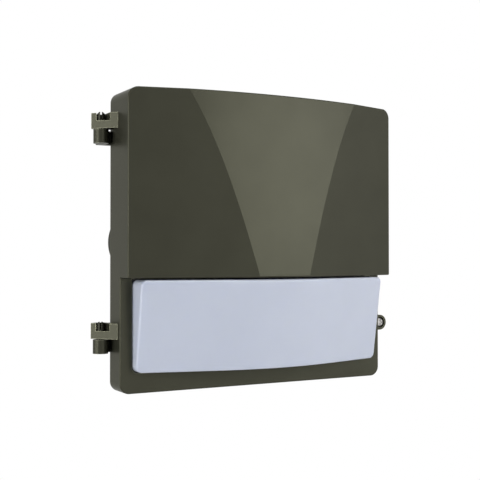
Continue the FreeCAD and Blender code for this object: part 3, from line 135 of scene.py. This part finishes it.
def ramp(tree, source, low, high):
    """The noise's middle values spread between two results."""
    spread = tree.nodes.new("ShaderNodeMapRange")
    spread.inputs["From Min"].default_value = NOISE_LOW
    spread.inputs["From Max"].default_value = NOISE_HIGH
    spread.inputs["To Min"].default_value = low
    spread.inputs["To Max"].default_value = high
    tree.links.new(source, spread.inputs["Value"])
    return spread.outputs["Result"]


def colour_mix(tree, factor, second):
    """A mix of two colours by a factor, with the second one set."""
    mix = tree.nodes.new("ShaderNodeMix")
    mix.data_type = "RGBA"
    mix.inputs["B"].default_value = (*second, 1.0)
    tree.links.new(factor, mix.inputs["Factor"])
    return mix


def scaled(colour, factor):
    """The colour made lighter or darker."""
    return tuple(min(1.0, part * factor) for part in colour)


def mottled(tree, colour, mottle):
    """The colour with broad, faint lighter and darker areas."""
    areas = noise(tree, MOTTLE_SIZE, BROAD_DETAIL)
    mix = colour_mix(tree, ramp(tree, areas, 0.0, 1.0), scaled(colour, 1.0 + mottle))
    mix.inputs["A"].default_value = (*scaled(colour, 1.0 - mottle), 1.0)
    return mix.outputs["Result"]


def rounded_normal(tree, radius, samples):
    """The surface's normal as if its sharp edges were rounded to the radius."""
    rounded = tree.nodes.new("ShaderNodeBevel")
    rounded.samples = samples
    rounded.inputs["Radius"].default_value = radius
    return rounded.outputs["Normal"]


def edge_mask(tree, radius):
    """1 along the sharp edges of the mesh, 0 away from them."""
    flat = tree.nodes.new("ShaderNodeNewGeometry")
    turn = tree.nodes.new("ShaderNodeVectorMath")
    turn.operation = "DOT_PRODUCT"
    tree.links.new(rounded_normal(tree, radius, WEAR_AND_HIGHLIGHT_SAMPLES), turn.inputs[0])
    tree.links.new(flat.outputs["Normal"], turn.inputs[1])
    mask = tree.nodes.new("ShaderNodeMapRange")
    mask.inputs["From Min"].default_value = WEAR_AND_HIGHLIGHT_STARTS
    mask.inputs["From Max"].default_value = WEAR_AND_HIGHLIGHT_FULL
    tree.links.new(turn.outputs["Value"], mask.inputs["Value"])
    return mask.outputs["Result"]


def worn_and_highlit(tree, colours, mask, colour):
    """The colours made lighter where the mask says so, unevenly: rubbed wear and a painted
    edge highlight.
    """
    patches = noise(tree, PATCH_SIZE, BROAD_DETAIL)
    share = tree.nodes.new("ShaderNodeMath")
    share.operation = "MULTIPLY"
    tree.links.new(mask, share.inputs[0])
    tree.links.new(ramp(tree, patches, WEAR_AND_HIGHLIGHT_LEAST, 1.0), share.inputs[1])
    mix = colour_mix(tree, share.outputs["Value"], colour)
    tree.links.new(colours, mix.inputs["A"])
    return mix.outputs["Result"]


def bump(tree, shader, source, height):
    """Raise the surface by the source, to a height."""
    relief = tree.nodes.new("ShaderNodeBump")
    relief.inputs["Distance"].default_value = height
    relief.inputs["Strength"].default_value = 1.0
    tree.links.new(source, relief.inputs["Height"])
    tree.links.new(relief.outputs["Normal"], shader.inputs["Normal"])
    return relief


def plain_finish(name, colour, roughness, metallic=0.0, grain=0.0012, relief=0.00002,
                 mottle=0.06, stretch=None, edge=0.0004, lighter=1.25):
    """A finish with a fine grain in its relief, varied colour and gloss, and lighter edges:
    rubbed wear with a painted highlight.

    Returns the material, its shader and the node of its relief.
    """
    material, tree, shader = new_material(name)
    fine = noise(tree, grain, FINE_DETAIL, stretch)
    # Edges painted lighter along the edge mask: a painted highlight, with rubbed wear
    colours = worn_and_highlit(tree, mottled(tree, colour, mottle), edge_mask(tree, edge),
                   scaled(colour, lighter))
    tree.links.new(colours, shader.inputs["Base Color"])
    gloss = ramp(tree, fine, roughness - GLOSS_SPREAD, roughness + GLOSS_SPREAD)
    tree.links.new(gloss, shader.inputs["Roughness"])
    shader.inputs["Metallic"].default_value = metallic
    return material, shader, bump(tree, shader, fine, relief)


def bronze_finish(name, colour, roughness, lighter):
    """Dark bronze powder coat with fine metal flake, satin, its edges lighter: a painted
    highlight, with the coat thinner there.
    """
    material, shader, _ = plain_finish(
        name, colour, roughness, metallic=0.4, grain=0.0011, relief=0.000012,
        mottle=0.05, edge=0.0007, lighter=lighter)
    shader.inputs["Specular IOR Level"].default_value = 0.2
    shader.inputs["Specular Tint"].default_value = (0.43, 0.43, 0.36, 1.0)
    return material


def opal_finish(name):
    """Opal polycarbonate: satin, slightly translucent, cool white, with soft edges painted
    lighter as a highlight.
    """
    # The lens's lighter edges are a painted highlight along its rims
    material, shader, relief = plain_finish(
        name, colour=(0.54, 0.58, 0.694), roughness=0.36, grain=0.0009,
        relief=0.000004, mottle=0.012, edge=0.0012, lighter=1.2)
    tree = material.node_tree
    soft_edges = rounded_normal(tree, radius=0.003, samples=SOFT_SAMPLES)
    tree.links.new(soft_edges, relief.inputs["Normal"])
    shader.inputs["Subsurface Weight"].default_value = 0.6
    shader.inputs["Subsurface Radius"].default_value = (0.006, 0.006, 0.007)
    shader.inputs["Subsurface Scale"].default_value = 1.0
    shader.inputs["IOR"].default_value = 1.5
    return material


def make_finish(slot):
    """The material of a slot."""
    if slot == "opal_lens":
        return opal_finish(slot)
    if slot in BRONZE_FINISHES:
        return bronze_finish(slot, *BRONZE_FINISHES[slot])
    material, _, _ = plain_finish(slot, **PLAIN_FINISHES[slot])
    return material


def dress_nodes():
    """Give each CAD node the finish of its slot."""
    made = {}
    slots = {entry["node"]: entry["material_slot"] for entry in frame["record"]["subparts"]}
    for name, item in nodes.items():
        slot = slots[name]
        if slot not in made:
            made[slot] = make_finish(slot)
        item.data.materials.clear()
        item.data.materials.append(made[slot])


# --- Stage -------------------------------------------------------------------

def white_where_seen(tree, seen, lit):
    """Mix two shaders: one for rays that look at the backdrop, one for the light it gives."""
    path = tree.nodes.new("ShaderNodeLightPath")
    looks = path.outputs["Is Camera Ray"]
    for ray in ("Is Transmission Ray", "Is Glossy Ray"):
        either = tree.nodes.new("ShaderNodeMath")
        either.operation = "MAXIMUM"
        tree.links.new(looks, either.inputs[0])
        tree.links.new(path.outputs[ray], either.inputs[1])
        looks = either.outputs["Value"]
    mix = tree.nodes.new("ShaderNodeMixShader")
    tree.links.new(looks, mix.inputs["Fac"])
    tree.links.new(lit, mix.inputs[1])
    tree.links.new(seen, mix.inputs[2])
    return mix.outputs["Shader"]


def make_floor():
    """A pale floor well below the object, white where it is seen or mirrored."""
    bpy.ops.mesh.primitive_plane_add(size=FLOOR_SIZE, location=(0, 0, -FLOOR_DROP))
    floor = bpy.context.object
    floor.name = "floor"
    material = bpy.data.materials.new("floor")
    material.use_nodes = True
    tree = material.node_tree
    tree.nodes.clear()
    output = tree.nodes.new("ShaderNodeOutputMaterial")
    matt = tree.nodes.new("ShaderNodeBsdfDiffuse")
    matt.inputs["Color"].default_value = (*FLOOR_COLOUR, 1.0)
    glow = tree.nodes.new("ShaderNodeEmission")
    glow.inputs["Color"].default_value = (*WHITE, 1.0)
    glow.inputs["Strength"].default_value = 1.0
    mixed = white_where_seen(tree, glow.outputs["Emission"], matt.outputs["BSDF"])
    tree.links.new(mixed, output.inputs["Surface"])
    floor.data.materials.append(material)


def make_world():
    """A faint even fill light, white where the world is seen or mirrored."""
    world = bpy.data.worlds.new("studio")
    bpy.context.scene.world = world
    world.use_nodes = True
    tree = world.node_tree
    tree.nodes.clear()
    output = tree.nodes.new("ShaderNodeOutputWorld")
    seen = tree.nodes.new("ShaderNodeBackground")
    seen.inputs["Color"].default_value = (*WHITE, 1.0)
    lit = tree.nodes.new("ShaderNodeBackground")
    lit.inputs["Color"].default_value = (*WHITE, 1.0)
    lit.inputs["Strength"].default_value = FILL_LIGHT
    mixed = white_where_seen(tree, seen.outputs["Background"], lit.outputs["Background"])
    tree.links.new(mixed, output.inputs["Surface"])


def add_softbox(name, direction, size, power):
    """A rectangular lamp that faces the origin from a turn and a rise."""
    turn, rise = (math.radians(angle) for angle in direction)
    lamp = bpy.data.lights.new(name, "AREA")
    lamp.shape = "RECTANGLE"
    lamp.size, lamp.size_y = size
    lamp.energy = power
    item = bpy.data.objects.new(name, lamp)
    bpy.context.scene.collection.objects.link(item)
    item.location = LAMP_DISTANCE * Vector((
        math.sin(turn) * math.cos(rise),
        -math.cos(turn) * math.cos(rise),
        math.sin(rise),
    ))
    item.rotation_euler = (-item.location).to_track_quat("-Z", "Y").to_euler()


def make_camera():
    """The photograph's camera: unturned it looks straight down, so 90 degrees level it."""
    lens = bpy.data.cameras.new("camera")
    lens.lens = CAMERA_LENS_MM
    lens.sensor_width = FILM_WIDTH_MM
    camera = bpy.data.objects.new("camera", lens)
    bpy.context.scene.collection.objects.link(camera)
    camera.location = CAMERA_PLACE
    camera.rotation_euler = (math.radians(90 + CAMERA_RISE), 0, math.radians(-CAMERA_TURN))
    bpy.context.scene.camera = camera


dress_nodes()
make_floor()
make_world()
for softbox in LAMPS:
    add_softbox(*softbox)
make_camera()
bpy.context.scene.view_settings.view_transform = "Standard"
